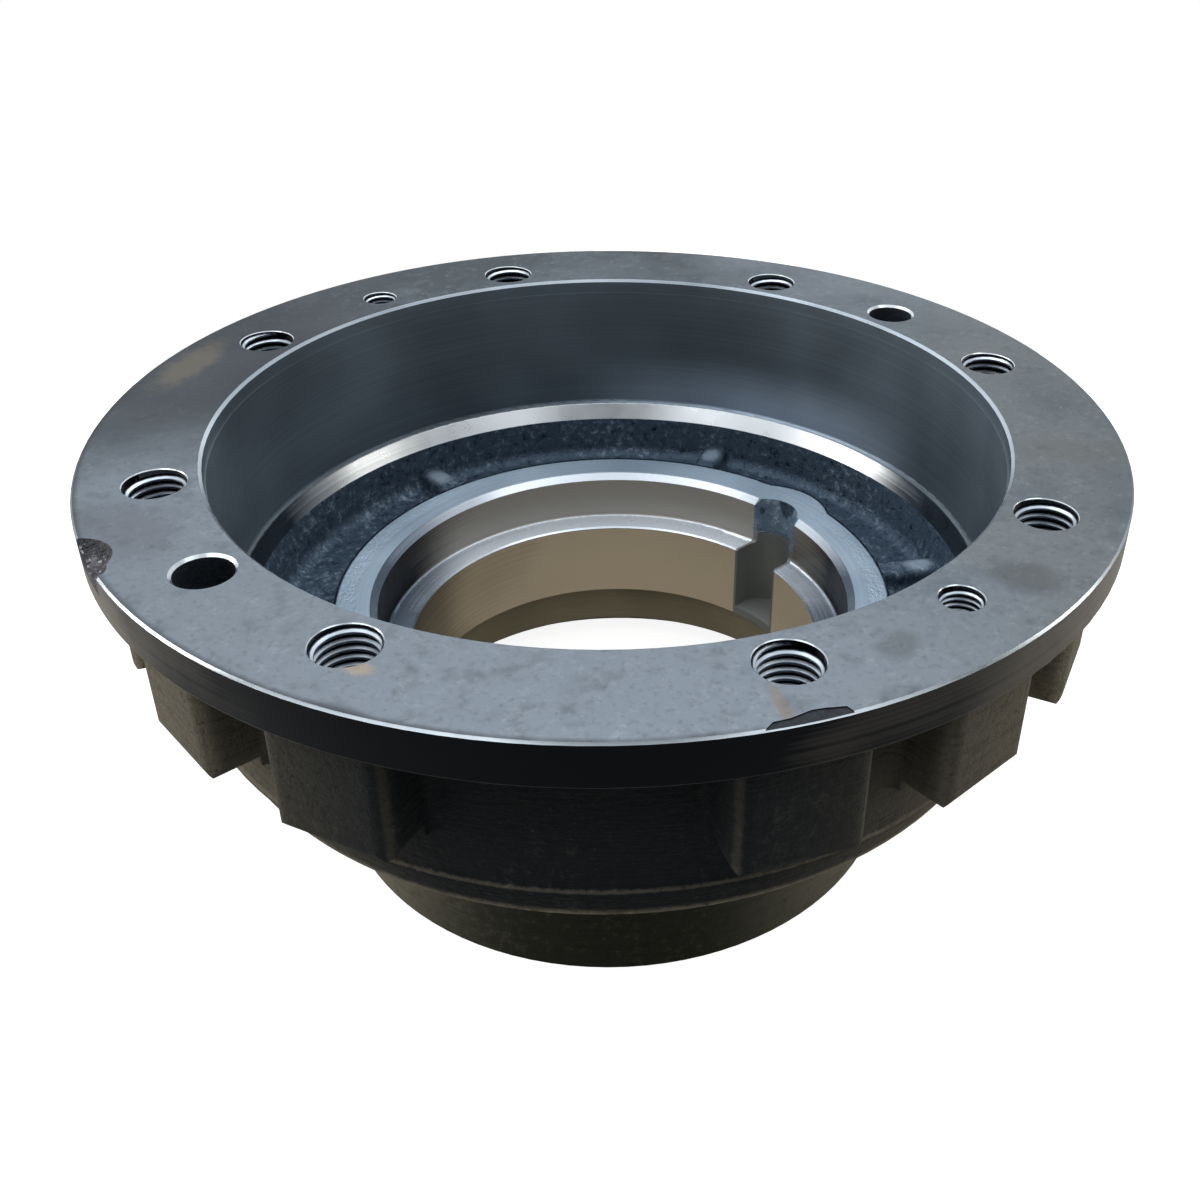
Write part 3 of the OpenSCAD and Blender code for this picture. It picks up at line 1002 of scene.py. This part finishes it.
@dataclass
class TappedThread:
    """The thread of one size of tapped hole, as a helical surface inside the bore, in millimetres.

    The crest grows in over run_in of a turn at the top and away over run_out at the bottom.
    """

    label: str
    major_r: float
    pitch: float
    depth: float
    top: float = 0.25
    gap: float = 0.02
    crest_rounding: float = 0.06
    depth_to_pitch: float = 0.5413
    run_in: float = 0.55
    run_out: float = 0.3
    head_start: float = 0.35
    around: int = 56
    twist: float = 1.3
    finish: ThreadFinish = ThreadFinish()

    @property
    def minor_r(self) -> float:
        """Radius of the thread's crest."""
        return self.major_r - self.depth_to_pitch * self.pitch

    @property
    def root_r(self) -> float:
        """Radius of the thread's root, just inside the bore."""
        return self.major_r - self.gap

    def profile(self) -> list[tuple[float, float]]:
        """One pitch of the thread.

        Returns:
            Steps down in pitches and radii, from one root to the next.
        """
        crest = self.minor_r
        shoulder = crest + self.crest_rounding
        return [(0.0, self.root_r), (0.125, self.root_r), (0.4375, shoulder), (0.48, crest),
                (0.645, crest), (0.6875, shoulder), (1.0, self.root_r)]

    def points(self) -> list[Point]:
        """The helix's points in metres, row by row down the thread, with the bolting face at 0."""
        made = []
        count = self.rows()
        for i in range(count + 1):
            angle = 2 * math.pi * i / self.around
            start = min(1.0, i / (self.run_in * self.around)) \
                * min(1.0, (count - i) / (self.run_out * self.around))
            grown = start * start * (3 - 2 * start)
            for step, radius in self.profile():
                r = self.root_r - (self.root_r - radius) * grown
                down = self.top + self.pitch * (i / self.around + step) - self.pitch * self.head_start
                down = max(down, self.top)
                made.append((r * math.cos(angle) * MM, r * math.sin(angle) * MM, -down * MM))
        return made

    def rows(self) -> int:
        """How many steps the helix takes, in whole turns."""
        return int((self.depth - self.top) / self.pitch) * self.around

    def mesh(self) -> bpy.types.Mesh:
        """The helical surface.

        Returns:
            The mesh, its axis on Z and its faces toward the axis.
        """
        width = len(self.profile())
        corners = [i * width + k for i in range(self.rows()) for k in range(width - 1)]
        faces = [(a, a + width, a + width + 1, a + 1) for a in corners]
        mesh = bpy.data.meshes.new(f"thread_{self.label}")
        mesh.from_pydata(self.points(), [], faces)
        mesh.validate()
        made = bmesh.new()
        made.from_mesh(mesh)
        bmesh.ops.dissolve_degenerate(made, dist=1e-7, edges=made.edges[:])
        for face in made.faces:
            centre = face.calc_center_median()
            face.normal_update()
            if face.normal.x * centre.x + face.normal.y * centre.y > 0:
                face.normal_flip()
        made.to_mesh(mesh)
        made.free()
        return mesh

    def build(self, holes: list[float], circle: float, height: float) -> list[bpy.types.Object]:
        """Puts the thread in its holes.

        Args:
            holes: directions of the holes in degrees.
            circle: radius of their circle.
            height: height of the bolting face.

        Returns:
            The thread pieces.
        """
        mesh = self.mesh()
        mesh.materials.append(self.finish.material(f"cut_thread_{self.label}", self.major_r, self.minor_r))
        made = []
        for number, turn in enumerate(holes, 1):
            piece = bpy.data.objects.new(f"thread_{self.label}_{number}", mesh)
            angle = math.radians(turn)
            piece.location = (circle * math.cos(angle) * MM, circle * math.sin(angle) * MM, height * MM)
            piece.rotation_euler = (0.0, 0.0, angle + self.twist * number)
            bpy.context.scene.collection.objects.link(piece)
            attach(piece, "root")
            made.append(piece)
            log.info("%s cut", piece.name)
        return made


@dataclass(frozen=True)
class Lamp:
    """One soft lamp: where it stands, what it points at, its size in metres and its power in watts."""

    name: str
    place: Point
    aim: Point
    size: tuple[float, float]
    watts: float
    colour: Rgb

    def build(self) -> bpy.types.Object:
        """Makes the lamp."""
        data = bpy.data.lights.new(self.name, "AREA")
        data.shape = "RECTANGLE"
        data.size, data.size_y = self.size
        data.energy = self.watts
        data.color = self.colour
        made = bpy.data.objects.new(self.name, data)
        made.location = self.place
        aim = Vector(self.aim) - Vector(self.place)
        made.rotation_euler = aim.to_track_quat("-Z", "Y").to_euler()
        bpy.context.scene.collection.objects.link(made)
        return made


@dataclass
class Studio:
    """The camera at the photograph's place, a pale floor, soft lamps and a sky brighter behind the hub.

    The camera's place and angles, its focal length and its centre were fitted to the rim's two edges, the
    cup's mouth and the twelve holes in the photograph.
    """

    eye: Point = (-0.24354, -0.29249, 0.32719)
    heading: float = 46.72
    dip: float = 31.9525
    roll: float = 1.1003
    focal_px: float = 1321.74
    centre_px: tuple[float, float] = (682.52, 558.08)
    frame_px: float = 1200.0
    sensor: float = 36.0
    floor_size: float = 0.9
    floor_tone: Rgb = (0.4, 0.39, 0.37)
    floor_glow: float = 0.9
    sky_tint: Rgb = (0.93, 0.97, 1.0)
    sky_turn: float = 62.0
    sky_rise: float = 14.0
    bright: float = 0.6
    dim: float = 0.3
    fill: float = 0.04
    bounces: int = 3
    lamps: tuple[Lamp, ...] = (
        Lamp("overhead", (0.25, 0.45, 1.25), (0.0, 0.0, 0.1), (1.3, 1.0), 9.0, (0.94, 0.97, 1.0)),
        Lamp("left_high", (-0.834, -0.015, 0.953), (0.0, 0.0, 0.1), (0.9, 0.5), 2.6, (0.96, 0.98, 1.0)),
        Lamp("right_high", (0.142, -0.806, 0.968), (0.0, 0.0, 0.1), (0.8, 0.5), 2.0, (0.96, 0.98, 1.0)),
        Lamp("left_side", (-0.9, 0.75, 0.3), (-0.1, 0.0, 0.08), (0.5, 0.7), 8.0, (1.0, 0.95, 0.87)),
        Lamp("right_side", (0.85, -0.75, 0.25), (0.0, -0.1, 0.08), (0.5, 0.6), 4.0, (1.0, 0.95, 0.87)),
    )

    def camera(self) -> bpy.types.Object:
        """Makes the camera.

        Returns:
            The camera's object.
        """
        data = bpy.data.cameras.new("camera")
        data.sensor_width = self.sensor
        data.sensor_fit = "HORIZONTAL"
        data.lens = self.focal_px / self.frame_px * self.sensor
        data.shift_x = (self.frame_px / 2 - self.centre_px[0]) / self.frame_px
        data.shift_y = (self.centre_px[1] - self.frame_px / 2) / self.frame_px
        data.clip_start, data.clip_end = 0.01, 20.0
        made = bpy.data.objects.new("camera", data)
        ahead = self.direction(self.heading, -self.dip)
        turn = ahead.to_track_quat("-Z", "Y").to_matrix() @ Matrix.Rotation(math.radians(self.roll), 3, "Z")
        made.matrix_world = Matrix.Translation(self.eye) @ turn.to_4x4()
        bpy.context.scene.collection.objects.link(made)
        bpy.context.scene.camera = made
        return made

    @staticmethod
    def direction(turn: float, rise: float) -> Vector:
        """A direction of length 1 from its turn round the axis and its rise, both in degrees."""
        turn, rise = math.radians(turn), math.radians(rise)
        return Vector((math.cos(turn) * math.cos(rise), math.sin(turn) * math.cos(rise), math.sin(rise)))

    def floor(self) -> bpy.types.Object:
        """Makes the pale floor, white to the camera but for the hub's soft shadow.

        Returns:
            The floor's object.
        """
        mesh = bpy.data.meshes.new("floor")
        half = self.floor_size / 2
        corners = [(-half, -half, 0), (half, -half, 0), (half, half, 0), (-half, half, 0)]
        mesh.from_pydata(corners, [], [(0, 1, 2, 3)])
        made = bpy.data.objects.new("floor", mesh)
        material = bpy.data.materials.new("pale_floor")
        graph = Graph(material)
        matt = graph.node("ShaderNodeBsdfDiffuse", {}, {"Color": self.floor_tone})
        glow = graph.node("ShaderNodeEmission", {}, {"Color": WHITE, "Strength": self.floor_glow})
        both = graph.node("ShaderNodeAddShader", {}, {0: matt.outputs[0], 1: glow.outputs[0]})
        seen = graph.node("ShaderNodeLightPath").outputs["Is Camera Ray"]
        mixed = graph.node("ShaderNodeMixShader", {}, {0: seen, 1: matt.outputs[0], 2: both.outputs[0]})
        graph.node("ShaderNodeOutputMaterial", {}, {"Surface": mixed.outputs[0]})
        mesh.materials.append(material)
        bpy.context.scene.collection.objects.link(made)
        return made

    def sky(self) -> None:
        """Makes the sky: white to the camera, else brightest behind the hub and overhead, dim elsewhere."""
        world = bpy.data.worlds.new("studio")
        world.cycles.sampling_method = "NONE"
        bpy.context.scene.world = world
        graph = Graph(world)
        direction = graph.node("ShaderNodeTexCoord").outputs["Generated"]
        brightest = tuple(self.direction(self.sky_turn, self.sky_rise))
        facing = graph.node("ShaderNodeVectorMath", {"operation": "DOT_PRODUCT"},
                            {0: direction, 1: brightest})
        behind = Field(graph, facing.outputs["Value"]).rising(-0.45, 0.5)
        height = Field(graph, graph.node("ShaderNodeSeparateXYZ", {}, {0: direction}).outputs[2])
        overhead = height.rising(0.5, 0.88)
        level = (behind | overhead) * (height.rising(-0.1, 0.0) * self.bright + self.dim) + self.fill
        seen = Field(graph, graph.node("ShaderNodeLightPath").outputs["Is Camera Ray"])
        shader = graph.node("ShaderNodeBackground", {}, {
            "Color": graph.mix(self.sky_tint, WHITE, seen), "Strength": seen | level})
        graph.node("ShaderNodeOutputWorld", {}, {"Surface": shader.outputs[0]})

    def build(self) -> None:
        """Makes the whole studio and sets the plain view transform and the light bounces."""
        bpy.context.scene.view_settings.view_transform = "Standard"
        bpy.context.scene.cycles.max_bounces = self.bounces
        self.camera()
        self.floor()
        self.sky()
        for lamp in self.lamps:
            lamp.build()
        log.info("studio with %d lamps", len(self.lamps))


def main() -> None:
    """Builds the studio, the casting's finish and the threads."""
    logging.basicConfig(level=logging.INFO, format="%(name)s: %(message)s")
    Studio().build()
    hub = HubCasting()
    hub.dress()
    wheel_holes, small_holes = mount("wheel_holes")["dims"], mount("small_tapped_holes")["dims"]
    wheel_turns = [hub.sector * (2 * i + 1) for i in range(wheel_holes["count"])]
    wheel = TappedThread("wheel", major_r=wheel_holes["hole_r_mm"], pitch=2.5, depth=31.0)
    wheel.build(wheel_turns, hub.hole_circle, hub.height)
    small = TappedThread("small", major_r=small_holes["hole_r_mm"], pitch=1.75, depth=20.0)
    small.build([90.0, 270.0], hub.hole_circle, hub.height)


if __name__ == "__main__":
    main()
